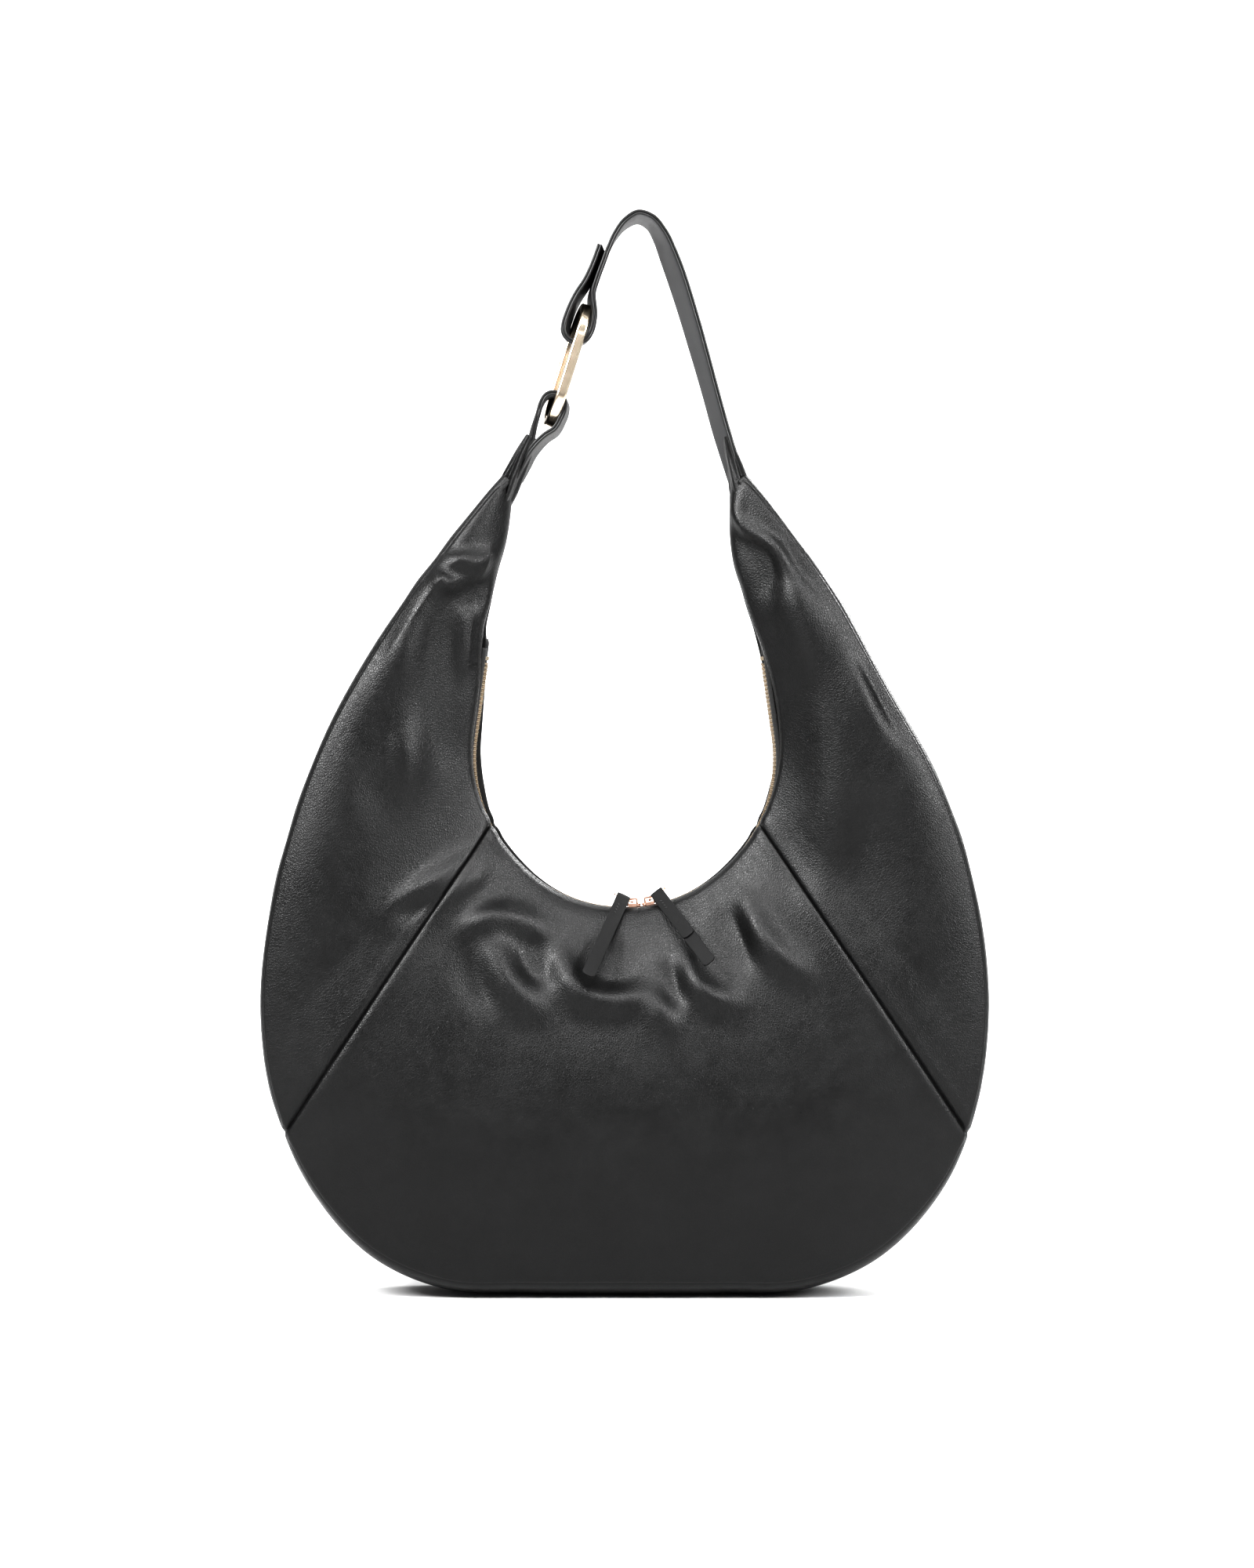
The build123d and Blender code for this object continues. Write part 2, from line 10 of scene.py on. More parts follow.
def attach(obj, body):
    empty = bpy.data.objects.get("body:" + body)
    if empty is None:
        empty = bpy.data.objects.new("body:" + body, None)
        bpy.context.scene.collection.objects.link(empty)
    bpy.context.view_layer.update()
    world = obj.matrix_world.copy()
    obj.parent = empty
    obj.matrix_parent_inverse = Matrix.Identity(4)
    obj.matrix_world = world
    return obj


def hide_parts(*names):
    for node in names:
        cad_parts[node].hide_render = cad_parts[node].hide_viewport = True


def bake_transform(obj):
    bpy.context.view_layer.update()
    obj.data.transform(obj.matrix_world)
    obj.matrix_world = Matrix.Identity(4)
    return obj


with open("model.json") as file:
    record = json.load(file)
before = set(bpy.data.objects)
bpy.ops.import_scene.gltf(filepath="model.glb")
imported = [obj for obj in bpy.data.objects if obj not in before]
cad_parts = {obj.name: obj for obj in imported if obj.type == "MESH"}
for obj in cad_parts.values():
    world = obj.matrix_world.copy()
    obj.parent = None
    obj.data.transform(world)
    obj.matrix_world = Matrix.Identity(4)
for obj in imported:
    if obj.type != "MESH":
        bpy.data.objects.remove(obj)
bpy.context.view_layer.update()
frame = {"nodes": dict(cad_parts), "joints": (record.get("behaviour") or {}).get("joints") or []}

# ---------------------------------------------------------------- Leather panels
# The front and the back are each three pieces of soft black pebbled cow hide, joined by two slanted seams.
# The hide is turned over along the U of the mouth and sewn down, and the fullness above the belly falls
# in soft gathers. All sizes are millimetres until a mesh is made, then metres.
MOUTH_RADIUS, MOUTH_CENTRE, MOUTH_TURN = 93.0, 332.5, radians(98)
NECK_TOP = 508.0
OUTER_SEAM = [(0, 9), (60, 9), (109, 10.5), (150, 26), (191, 66), (216, 121), (223, 170), (216.5, 243),
              (195, 316), (157.5, 389), (128, 438), (106, 468), (93, 485), (82.5, 498), (73.5, NECK_TOP)]
SLANT_SEAM = 0.32
HIDE = 1.4
LIP = 3.5
MOUTH_HALF_GAP, NECK_HALF_GAP = 6.3, 0.8
FACING = 7.0  # the turned-in strip behind the mouth's edge
SEAM_TUCK = 3.0  # leather turned in along the outer seam
GROOVE, GROOVE_WIDTH = 0.9, 1.0  # the pressed line of a slanted seam
PIPING, PIPING_WAY, PIPING_WIDTH = 0.5, 5, 3  # the soft swell beside that line
BASE_DEPTH, NECK_DEPTH = 90, 22  # front to back, under the bag and at the necks
TUCK_SHARE, LIP_SHARE, FACING_SHARE = 0.04, 0.13, 0.05  # of a panel's mesh, from the seam over the lip


def through(points, at):
    """Smooth values at these places through (place, value) points."""
    place, value = np.array(points, float).T
    slope = np.gradient(value, place)
    k = np.clip(np.searchsorted(place, at) - 1, 0, len(place) - 2)
    gap = place[k + 1] - place[k]
    s = np.clip((at - place[k]) / gap, 0, 1)
    return ((1 + 2 * s) * (1 - s) ** 2 * value[k] + s * (1 - s) ** 2 * gap * slope[k]
            + s * s * (3 - 2 * s) * value[k + 1] + s * s * (s - 1) * gap * slope[k + 1])


def lengths_along(line):
    """Distance along a line of points, from its first point to each of them."""
    return np.concatenate([[0], np.cumsum(np.hypot(*np.diff(line, axis=0).T))])


seam_line = np.array(OUTER_SEAM, float)
chord = lengths_along(seam_line)
fine = np.linspace(0, chord[-1], 400)
seam_x = through(np.stack([chord, seam_line[:, 0]], 1), fine)
seam_z = through(np.stack([chord, seam_line[:, 1]], 1), fine)
seam_share = lengths_along(np.stack([seam_x, seam_z], 1))
seam_share /= seam_share[-1]
turn_length = MOUTH_RADIUS * MOUTH_TURN
rise_start = MOUTH_CENTRE - MOUTH_RADIUS * cos(MOUTH_TURN)
mouth_length = turn_length + (NECK_TOP - rise_start) / sin(MOUTH_TURN)

# how far the edge of the mouth wanders sideways from the even U, by height
FRONT_EDGE = {
    -1: [(240, 0), (268, 1.5), (292, 0.5), (316, -1), (341, -2.2), (378, -2.8), (402, -4.6), (415, -5.2),
         (427, -3.6), (451, -1.6), (464, 0.5), (495, 0.8), (508, 0)],
    1: [(240, 0), (268, -1), (292, 0.5), (316, 2), (341, 4), (365, 5), (390, 3), (402, 1), (415, -2),
        (427, -4.3), (439, -6), (451, -8.3), (464, -8.9), (476, -8.1), (488, -6.4), (500, -4.2), (508, 0)],
}
BACK_EDGE = {
    -1: [(240, 0), (268, 3), (292, 2.4), (316, 3.6), (341, 2.6), (365, 1), (402, -2), (415, -4.3),
         (427, -3.6), (451, -1.6), (464, 0.5), (495, 0.8), (508, 0)],
    1: [(240, 0), (268, -2), (292, -1), (316, -0.5), (341, 2.4), (365, 3), (390, 0.8), (402, -0.4), (415, -2),
        (427, -4.3), (439, -6), (451, -8.3), (464, -8.9), (476, -8.1), (488, -6.4), (500, -4.2), (508, 0)],
}


def mouth_place(t, radius=MOUTH_RADIUS):
    """x and z on the even U of this radius at share t of the way from its lowest point up one arm."""
    along = np.abs(t) * mouth_length * radius / MOUTH_RADIUS
    turn = np.minimum(along / radius, MOUTH_TURN)
    rest = along - turn * radius
    return np.sign(t) * (radius * np.sin(turn) + rest * cos(MOUTH_TURN)), \
        MOUTH_CENTRE - radius * np.cos(turn) + rest * sin(MOUTH_TURN)


def seam_place(t):
    """x and z on the outer seam at section t."""
    share = np.abs(t)
    at = share + 0.575 * share**2 * (1 - share)
    x, z = np.interp(at, seam_share, seam_x), np.interp(at, seam_share, seam_z)
    lean = 1.4 * np.exp(-(((z - 70) / 60) ** 2)) - 3.4 * np.exp(-(((z - 375) / 55) ** 2))
    return np.sign(t) * x + lean * np.minimum(share / 0.1, 1), z


def half_depth(t):
    return (NECK_DEPTH + (BASE_DEPTH - NECK_DEPTH) * (1 - np.abs(t) ** 2.2)) / 2


def half_gap(t):
    share = np.clip((np.abs(t) - 0.7) / 0.3, 0, 1)
    return MOUTH_HALF_GAP + (NECK_HALF_GAP - MOUTH_HALF_GAP) * (3 - 2 * share) * share**2


def belly(t, w):
    """How far out the hide stands from the mouth's gap at share w of the way from the seam to the mouth."""
    bulge = 1 + 13 * (1 - t * t)
    shoulder = 1.4 + 1.8 * np.maximum(0, 1 - (t / 0.38) ** 2)
    fill = half_depth(t) - half_gap(t) - LIP + 4 * bulge * w * (1 - w)
    return fill * np.maximum(1 - w**shoulder, 0) ** 0.7


FULLNESS = 1.75  # how deep the folds are all over
VALLEY = 1.8  # the deepest that a valley goes, so that it stays clear of the lining
BEADS = 28  # soft bumps along one fold
# Soft folds: the line each follows as (x, z), its half width and its height
FRONT_FOLDS = [
    # middle panel, gathers under the mouth from left to right
    ([(-104, 226), (-86, 234), (-68, 233), (-48, 224)], 9, 3.4),
    ([(-86, 232), (-80, 208), (-68, 188), (-48, 177)], 11, 4.2),
    ([(-60, 222), (-56, 206), (-46, 196)], 8, -2.6),
    ([(-96, 212), (-92, 194), (-84, 180)], 10, -2.0),
    ([(-38, 214), (-36, 197), (-24, 185), (-4, 182), (14, 188)], 9.5, 4.4),
    ([(-20, 212), (-6, 204), (10, 208)], 12, -2.6),
    ([(15, 184), (22, 176), (30, 164)], 10, 3.2),
    ([(38, 214), (42, 196), (54, 184), (74, 184)], 9, 4.0),
    ([(28, 206), (30, 192), (34, 180)], 7, -2.4),
    ([(64, 240), (68, 220), (74, 204)], 9, -2.6),
    ([(74, 250), (82, 228), (94, 210), (116, 196)], 10, 4.2),
    # left panel
    ([(-82, 275), (-104, 262), (-130, 248), (-156, 231)], 10.5, 3.4),
    ([(-86, 262), (-106, 250), (-126, 238)], 9, 3.0),
    ([(-90, 270), (-118, 246), (-140, 234)], 6, -2.6),
    ([(-120, 458), (-105, 455), (-92, 455), (-79, 461)], 6, 3.0),
    ([(-119, 458), (-116, 444), (-109, 440), (-93, 446), (-80, 453)], 6, 2.6),
    ([(-104, 430), (-94, 434), (-84, 441)], 8, -2.6),
    ([(-118, 457), (-124, 436), (-136, 405), (-140, 380)], 10.5, 2.8),
    ([(-136, 352), (-137, 338), (-134, 322), (-141, 300)], 13, 2.6),
    ([(-108, 425), (-112, 395), (-114, 360), (-110, 330)], 11.5, -2.2),
    ([(-98, 428), (-99, 405), (-101, 385)], 8, 2.0),
    ([(-150, 360), (-152, 330), (-150, 300)], 11.5, -2.0),
    # right panel
    ([(65, 520), (67, 495), (68, 484), (80, 472), (94, 462), (100, 448)], 5.5, 4.0),
    ([(100, 450), (104, 432), (112, 410), (120, 384)], 13, 3.0),
    ([(120, 384), (128, 345), (130, 305), (129, 270)], 18, 3.4),
    ([(74, 478), (84, 464), (90, 448), (92, 430)], 9, -2.6),
    ([(100, 476), (110, 455), (118, 436)], 8, -2.0),
    ([(148, 400), (160, 375), (173, 346)], 8, -2.8),
    ([(140, 392), (150, 366), (160, 340)], 10.5, 2.0),
    ([(150, 300), (156, 270), (160, 235)], 15.5, -1.8),
    ([(98, 290), (104, 268), (112, 250)], 11.5, -1.8),
]
BACK_FOLDS = [
    ([(-64, 236), (-70, 214), (-76, 186)], 9, 2.6),
    ([(-30, 214), (-30, 196), (-34, 170)], 9, 2.2),
    ([(6, 210), (8, 192), (6, 168)], 9, 2.4),
    ([(42, 218), (46, 198), (52, 174)], 8, 2.4),
    ([(80, 246), (90, 224), (100, 200)], 9, 2.8),
    ([(-50, 226), (-50, 204), (-54, 184)], 8, -2.0),
    ([(24, 212), (26, 194), (28, 176)], 8, -1.8),
    ([(120, 440), (112, 415), (118, 380)], 9, 2.6),
    ([(-118, 440), (-108, 412), (-114, 372)], 9, 2.6),
    ([(-136, 352), (-140, 320), (-150, 290)], 11, 2.4),
    ([(138, 350), (140, 318), (150, 286)], 11, 2.4),
    ([(-84, 462), (-98, 452), (-114, 452)], 5, 2.6),
    ([(84, 466), (98, 456), (110, 450)], 5, 2.6),
]


def fold_height(x, z, folds):
    """Height of all the folds at these places. Each swells from almost nothing at its ends."""
    total = 0.6 * np.sin(x / 23 + 0.6 * np.sin(z / 31)) * np.sin(z / 27 + 1.3) * np.clip((z - 120) / 80, 0, 1)
    for points, width, height in folds:
        line = np.array(points, float)
        steps = np.arange(len(line)) / (len(line) - 1)
        beads = np.linspace(0, 1, BEADS)
        bead_x = through(np.stack([steps, line[:, 0]], 1), beads)
        bead_z = through(np.stack([steps, line[:, 1]], 1), beads)
        swell = np.sin(pi * (0.03 + 0.94 * beads)) ** 0.7
        spacing = np.hypot(*np.diff(line, axis=0).T).sum() / (BEADS - 1)
        away = (x[:, None] - bead_x) ** 2 + (z[:, None] - bead_z) ** 2
        total = total + height * FULLNESS * (np.exp(-away / width**2) @ swell) * spacing / (1.77 * width)
    return np.where(total < 0, -VALLEY * np.tanh(-total / VALLEY), total)


def panel_points(u, v, side, first, last):
    """Positions on a smooth panel, and how high its folds rise there.

    u runs from section first to last, v from the outer seam over the mouth's lip.
    """
    t = first + (last - first) * u
    sx, sz = seam_place(t)
    mx, mz = mouth_place(t)
    edge = FRONT_EDGE if side < 0 else BACK_EDGE
    mx = mx + np.where(t < 0, through(edge[-1], mz), through(edge[1], mz)) * np.minimum(np.abs(t) / 0.1, 1)
    width = np.hypot(mx - sx, mz - sz)
    flat = 1 - TUCK_SHARE - LIP_SHARE - FACING_SHARE
    inside = np.clip(v / TUCK_SHARE, 0, 1)
    over = np.clip((v - TUCK_SHARE) / flat, 0, 1)
    roll = np.clip((v - TUCK_SHARE - flat) / LIP_SHARE, 0, 1)
    back = np.clip((v - 1 + FACING_SHARE) / FACING_SHARE, 0, 1)
    lip = np.minimum(LIP, 0.3 * width)
    over = over - 0.35 * np.sin(2 * pi * over) / (2 * pi)
    along = over * (width - lip) + lip * np.sin(roll * pi / 2)
    w = np.clip(along / width, 0, 1)
    y = half_gap(t) + belly(t, w) + lip * np.cos(roll * pi / 2) - 0.4 * back
    along = along - FACING * back
    corner = np.clip(1 - over * (width - lip) / 2.5, 0, 1)
    y = y - 2.4 * (1 - np.sqrt(np.maximum(1 - corner**2, 0))) - SEAM_TUCK * (1 - inside)
    x = sx + (mx - sx) * along / width
    z = sz + (mz - sz) * along / width
    calm = np.clip(over * width / 14, 0, 1) * np.clip((width - along) / 9, 0, 1) * (back <= 0)
    rise = fold_height(x, z, FRONT_FOLDS if side < 0 else BACK_FOLDS) * calm
    for seam in (-SLANT_SEAM, SLANT_SEAM):
        away = np.abs(t - seam) * (mouth_length + 1.25 * mouth_length * (1 - w))
        rise = rise - GROOVE * np.exp(-((away / GROOVE_WIDTH) ** 2)) \
            + PIPING * np.exp(-(((away - PIPING_WAY) / PIPING_WIDTH) ** 2))
    return np.stack([x, side * y, z], -1), rise


def made_piece(name, mesh, smooth=True):
    """An object with this finished mesh."""
    data = bpy.data.meshes.new(name)
    mesh.to_mesh(data)
    mesh.free()
    for face in data.polygons:
        face.use_smooth = smooth
    piece = bpy.data.objects.new(name, data)
    bpy.context.scene.collection.objects.link(piece)
    return piece


def grid_piece(name, across, up, place):
    """A sheet of across by up squares, laid out by place(u, v) in millimetres."""
    mesh = bmesh.new()
    bmesh.ops.create_grid(mesh, x_segments=across, y_segments=up, size=0.5)
    flat = np.array([v.co[:2] for v in mesh.verts]) + 0.5
    for vertex, spot in zip(mesh.verts, place(flat[:, 0], flat[:, 1])):
        vertex.co = Vector(spot) / 1000
    return made_piece(name, mesh)


def panel_place(side, first, last):
    """The panel with its folds raised along the hide's own normal."""
    def place(u, v):
        step = 1e-3
        spot, rise = panel_points(u, v, side, first, last)
        du = panel_points(np.minimum(u + step, 1), v, side, first, last)[0] \
            - panel_points(np.maximum(u - step, 0), v, side, first, last)[0]
        dv = panel_points(u, np.minimum(v + step, 1), side, first, last)[0] \
            - panel_points(u, np.maximum(v - step, 0), side, first, last)[0]
        normal = np.cross(du, dv)
        normal /= np.maximum(np.linalg.norm(normal, axis=1, keepdims=True), 1e-9)
        normal *= np.sign(normal[:, 1:2] * side + 1e-9)
        return spot + normal * rise[:, None]
    return place


def thicken(piece, thickness, offset=-1.0):
    """Gives a sheet its real thickness in millimetres."""
    solid = piece.modifiers.new("thickness", "SOLIDIFY")
    solid.thickness, solid.offset = thickness / 1000, offset
    return solid


def round_edges(piece, width):
    """Rounds the cut edges of a thick sheet by this many millimetres."""
    edge = piece.modifiers.new("edge", "BEVEL")
    edge.width, edge.segments = width / 1000, 3
    edge.limit_method, edge.angle_limit = "ANGLE", radians(50)


class Strand:
    """One value inside a finish. Arithmetic on strands adds the nodes that do it."""

    def __init__(self, tree, socket=None):
        self.tree, self.socket = tree, socket

    def node(self, kind, settings=None, sockets=None, output=0):
        made = self.tree.nodes.new(kind)
        for key, value in (settings or {}).items():
            if key == "stops":
                while len(made.color_ramp.elements) < len(value):
                    made.color_ramp.elements.new(0.5)
                for stop, (place, level) in zip(made.color_ramp.elements, value):
                    stop.position = place
                    stop.color = (level, level, level, 1) if isinstance(level, (int, float)) else (*level, 1)
            else:
                setattr(made, key, value)
        for key, value in (sockets or {}).items():
            if isinstance(value, Strand):
                self.tree.links.new(value.socket, made.inputs[key])
            else:
                made.inputs[key].default_value = value
        return Strand(self.tree, made.outputs[output] if len(made.outputs) else None)

    def maths(self, operation, *terms):
        return self.node("ShaderNodeMath", {"operation": operation}, dict(enumerate(terms)))

    def __add__(self, other):
        return self.maths("ADD", self, other)

    def __sub__(self, other):
        return self.maths("SUBTRACT", self, other)

    def __rsub__(self, other):
        return self.maths("SUBTRACT", other, self)

    def __mul__(self, other):
        return self.maths("MULTIPLY", self, other)

    __radd__, __rmul__ = __add__, __mul__


def new_finish(name):
    """An empty material and the strand that its nodes start from."""
    material = bpy.data.materials.new(name)
    material.use_nodes = True
    material.node_tree.nodes.clear()
    return material, Strand(material.node_tree)


def leather(name, dark, light, grain=1.5, roughness=0.33, depth=0.1, specular=0.34):
    """Hide with pebbles of this size in mm between fine valleys, softly uneven dye and sheen, and painted
    shade that darkens the valleys.
    """
    material, start = new_finish(name)
    place = start.node("ShaderNodeTexCoord", output="Object")
    stretched = start.node("ShaderNodeMapping", sockets={"Vector": place, "Scale": (1.15, 1.0, 0.9)})
    drift = start.node("ShaderNodeTexNoise", sockets={"Vector": place, "Scale": 260, "Detail": 2.0},
                       output="Color")
    wandering = start.node("ShaderNodeMix", {"data_type": "VECTOR"}, {0: 0.0012, 4: stretched, 5: drift},
                           output=1)
    pebble = start.node("ShaderNodeTexVoronoi", {"feature": "DISTANCE_TO_EDGE"},
                        {"Vector": wandering, "Scale": 1000 / grain, "Randomness": 0.95})
    small = start.node("ShaderNodeTexVoronoi", {"feature": "DISTANCE_TO_EDGE"},
                       {"Vector": wandering, "Scale": 1900 / grain, "Randomness": 1.0})
    wide = start.node("ShaderNodeTexNoise",
                      sockets={"Vector": place, "Scale": 22, "Detail": 4.0, "Roughness": 0.6})
    patch = start.node("ShaderNodeTexNoise", sockets={"Vector": place, "Scale": 90, "Detail": 3.0})
    valley = start.node("ShaderNodeValToRGB", {"stops": [(0.0, 0.0), (0.16, 0.6), (0.45, 1.0)]}, {0: pebble})
    fine_valley = start.node("ShaderNodeValToRGB", {"stops": [(0.0, 0.0), (0.2, 1.0)]}, {0: small})
    height = valley * (0.75 + patch * 0.5) + fine_valley * 0.3
    # colour mix: random uneven dye, plus painted shade that darkens the valleys between the pebbles
    dye_and_valley_shade = (wide - 0.5) * 0.9 + (patch - 0.5) * 0.35 + valley * 0.45 + 0.1
    tone = start.node("ShaderNodeMix", {"data_type": "RGBA", "clamp_factor": True},
                      {0: dye_and_valley_shade, 6: (*dark, 1), 7: (*light, 1)}, output=2)
    rough = roughness + 0.1 * (1 - valley) + (wide - 0.5) * 0.2 + (patch - 0.5) * 0.1
    bump = start.node("ShaderNodeBump", sockets={"Strength": 0.9, "Distance": depth / 1000, "Height": height})
    shader = start.node("ShaderNodeBsdfPrincipled", sockets={
        "Base Color": tone, "Roughness": rough, "Normal": bump, "Specular IOR Level": specular})
    start.node("ShaderNodeOutputMaterial", sockets={"Surface": shader})
    return material


hide = leather("black_pebbled_hide", (0.0016, 0.0016, 0.00165), (0.0052, 0.0053, 0.0054))
panels = [("left_panel", -1.0, -SLANT_SEAM, 110), ("centre_panel", -SLANT_SEAM, SLANT_SEAM, 190),
          ("right_panel", SLANT_SEAM, 1.0, 110)]
for side, face in ((-1, "front"), (1, "back")):
    for part, first, last, count in panels:
        sheet = grid_piece(f"{face}_{part}_hide", count, 150, panel_place(side, first, last))
        if side > 0:
            sheet.data.flip_normals()
        thicken(sheet, HIDE)
        sheet.data.materials.append(hide)
        if part == "centre_panel":
            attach(sheet, "bag")
        else:
            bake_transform(sheet)
        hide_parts(f"{face}_{part}")

# ---------------------------------------------------------------- Gusset
# A strip of the same hide runs round the whole outer edge between front and back, in three lengths.
# Its edges are turned in and sewn into the panels' seams, and it bellies out, most of all under the base.
GUSSET_LEATHER = 1.8
ARM_SWELL, BASE_SWELL = 3, 6.0  # how far the strip bellies out on the arms, and how much more in the base
EDGE_SHARE = 0.05  # of the strip's mesh, turned in at each side
GUSSET_RUN = 700  # about how many mm of outer seam lie in one unit of t
GUSSET_GROOVE_WIDTH = 1.4
RIPPLE = 0.35


def gusset_place(first, last):
    def place(u, v):
        t = first + (last - first) * u
        x, z = seam_place(t)
        step = 1e-3
        ax, az = seam_place(np.clip(t - step, -1, 1))
        bx, bz = seam_place(np.clip(t + step, -1, 1))
        tangent = np.stack([bx - ax, bz - az], -1)
        tangent /= np.linalg.norm(tangent, axis=1, keepdims=True)
        sag = ARM_SWELL + BASE_SWELL * np.clip(1 - (t / SLANT_SEAM) ** 2, 0, 1)
        share = np.clip((v - EDGE_SHARE) / (1 - 2 * EDGE_SHARE), 0, 1) * 2 - 1
        share = np.sin(share * pi / 2) * 0.55 + share * 0.45
        y = share * (half_depth(t) - 0.35)
        out = sag * (1 - share**4) ** 0.8 - 1.6 * np.abs(share) ** 30
        tuck = np.clip((EDGE_SHARE - v) / EDGE_SHARE, 0, 1) + np.clip((v - 1 + EDGE_SHARE) / EDGE_SHARE, 0, 1)
        out = out - SEAM_TUCK * tuck
        ripple = RIPPLE * np.sin(t * 61 + 2 * np.sin(t * 23)) * (1 - share**2) * (np.abs(t) > SLANT_SEAM)
        x = x + tangent[:, 1] * (out + ripple)
        z = z - tangent[:, 0] * (out + ripple)
        for seam in (-SLANT_SEAM, SLANT_SEAM):
            groove = GROOVE * np.exp(-((np.abs(t - seam) * GUSSET_RUN / GUSSET_GROOVE_WIDTH) ** 2))
            x, z = x - tangent[:, 1] * groove, z + tangent[:, 0] * groove
        return np.stack([x, y, np.maximum(z, 0)], -1)
    return place


for part, first, last, count in (("gusset_left", -1.0, -SLANT_SEAM, 180),
                                 ("gusset_base", -SLANT_SEAM, SLANT_SEAM, 200),
                                 ("gusset_right", SLANT_SEAM, 1.0, 180)):
    strip = grid_piece(f"{part}_hide", count, 34, gusset_place(first, last))
    strip.data.flip_normals()
    thicken(strip, GUSSET_LEATHER)
    strip.data.materials.append(hide)
    if part == "gusset_base":
        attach(strip, "bag")
    else:
        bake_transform(strip)
    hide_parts(part)

# ---------------------------------------------------------------- Topstitching round the mouth
# Black waxed thread, a little lighter than the hide, sewn through the turned edge just below the lip.
STITCH_PITCH, STITCH_LENGTH, THREAD_WIDTH = 2.9, 2.1, 0.42
STITCHED_SHARE = 0.78  # how far up each arm the stitches run, as a share of its length
NEEDLE_ROW = 1 - FACING_SHARE - LIP_SHARE * 0.42  # where the needle goes through the lip
THREAD_PROUD = 0.02


def place_stitches(name, spots, length, width, body, finish, node=None):
    """A row of thread beads, sunk about halfway. Each spot is (middle, direction, outward) in millimetres."""
    mesh = bmesh.new()
    for middle, along, outward in spots:
        along, outward = Vector(along).normalized(), Vector(outward).normalized()
        side = along.cross(outward).normalized()
        height = side.cross(along).normalized()
        turn = Matrix((along * length, side * width, height * width)).transposed().to_4x4()
        turn.translation = Vector(middle)
        bmesh.ops.create_uvsphere(mesh, u_segments=6, v_segments=4, radius=0.5,
                                  matrix=Matrix.Scale(0.001, 4) @ turn @ Matrix.Rotation(pi / 2, 4, "Y"))
    bmesh.ops.recalc_face_normals(mesh, faces=mesh.faces)
    piece = made_piece(name, mesh)
    piece.data.materials.append(finish)
    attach(piece, body)
    if node:
        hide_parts(node)


def thread_finish(name, dark, light):
    """Twisted thread: fine slanting plies."""
    material, start = new_finish(name)
    place = start.node("ShaderNodeTexCoord", output="Object")
    ply = start.node("ShaderNodeTexWave", {"bands_direction": "DIAGONAL"},
                     {"Vector": place, "Scale": 900, "Distortion": 1.0})
    tone = start.node("ShaderNodeMix", {"data_type": "RGBA"},
                      {0: ply, 6: (*dark, 1), 7: (*light, 1)}, output=2)
    bump = start.node("ShaderNodeBump", sockets={"Strength": 0.6, "Distance": 0.0001, "Height": ply})
    shader = start.node("ShaderNodeBsdfPrincipled",
                        sockets={"Base Color": tone, "Roughness": 0.6, "Normal": bump})
    start.node("ShaderNodeOutputMaterial", sockets={"Surface": shader})
    return material


waxed_thread = thread_finish("waxed_thread", (0.012, 0.012, 0.012), (0.04, 0.04, 0.04))


def lip_spot(side, t, v):
    """Points on the finished lip at these sections, v of the way over each panel's mesh."""
    spots = np.zeros((len(t), 3))
    for _, first, last, _ in panels:
        on = (t >= first) & (t < last)
        spots[on] = panel_place(side, first, last)((t[on] - first) / (last - first), np.full(on.sum(), v))
    return spots


for side, face in ((-1, "front"), (1, "back")):
    t = np.arange(-STITCHED_SHARE, STITCHED_SHARE, STITCH_PITCH / mouth_length)
    here, ahead = lip_spot(side, t, NEEDLE_ROW), lip_spot(side, t + 1e-3, NEEDLE_ROW)
    inner = lip_spot(side, t, NEEDLE_ROW + 0.01)
    run = ahead - here
    out = np.cross(run, inner - here)
    out /= np.linalg.norm(out, axis=1, keepdims=True)
    out *= np.sign(out[:, 1:2] * side)
    place_stitches(f"{face}_mouth_topstitching", zip(here + THREAD_PROUD * out, run, out), STITCH_LENGTH,
                   THREAD_WIDTH, "bag", waxed_thread)

# ---------------------------------------------------------------- Zipper
# Two woven tapes with metal teeth clamped on their edges, behind the lips of the mouth. The rows stop just
# short of each other, so that a slider's post passes between them. Small hide tabs cover the chain's ends.
CHAIN_RADIUS, TAPE_RADIUS, RISE = 94.1, 94.9, 57.0
TOOTH_PITCH = 2.6
TOOTH_FOOT, TOOTH_HEAD = ((1.25, 1.5, 2.9), 2.6), ((0.95, 2.0, 2.2), 1.45)  # size, way off the middle line
MEETING, SLIDER_REACH, SLIDER_GAP = 10.7, 5.4, 0.25  # where the sliders meet, and the room made for them
END_MARGIN = 8.6  # the least length left without teeth at each end of the chain
TAPE_DROP = 2.4  # how far the outer edge of a tape falls away from the chain
TAPE_THICKNESS = 0.55


def chain_frame(along, radius=CHAIN_RADIUS):
    """Matrix on the middle of the chain: x along it, y to the back, z towards the hollow of the U, in mm."""
    turn = min(abs(along) / radius, MOUTH_TURN)
    rest = abs(along) - turn * radius
    way = 1 if along >= 0 else -1
    x = way * (radius * sin(turn) + rest * cos(MOUTH_TURN))
    z = MOUTH_CENTRE - radius * cos(turn) + rest * sin(MOUTH_TURN)
    run = Vector((cos(turn), 0, way * sin(turn)))
    up = Vector((-run.z, 0, run.x))
    frame_matrix = Matrix((run, up.cross(run), up)).transposed().to_4x4()
    frame_matrix.translation = (x, 0, z)
    return frame_matrix


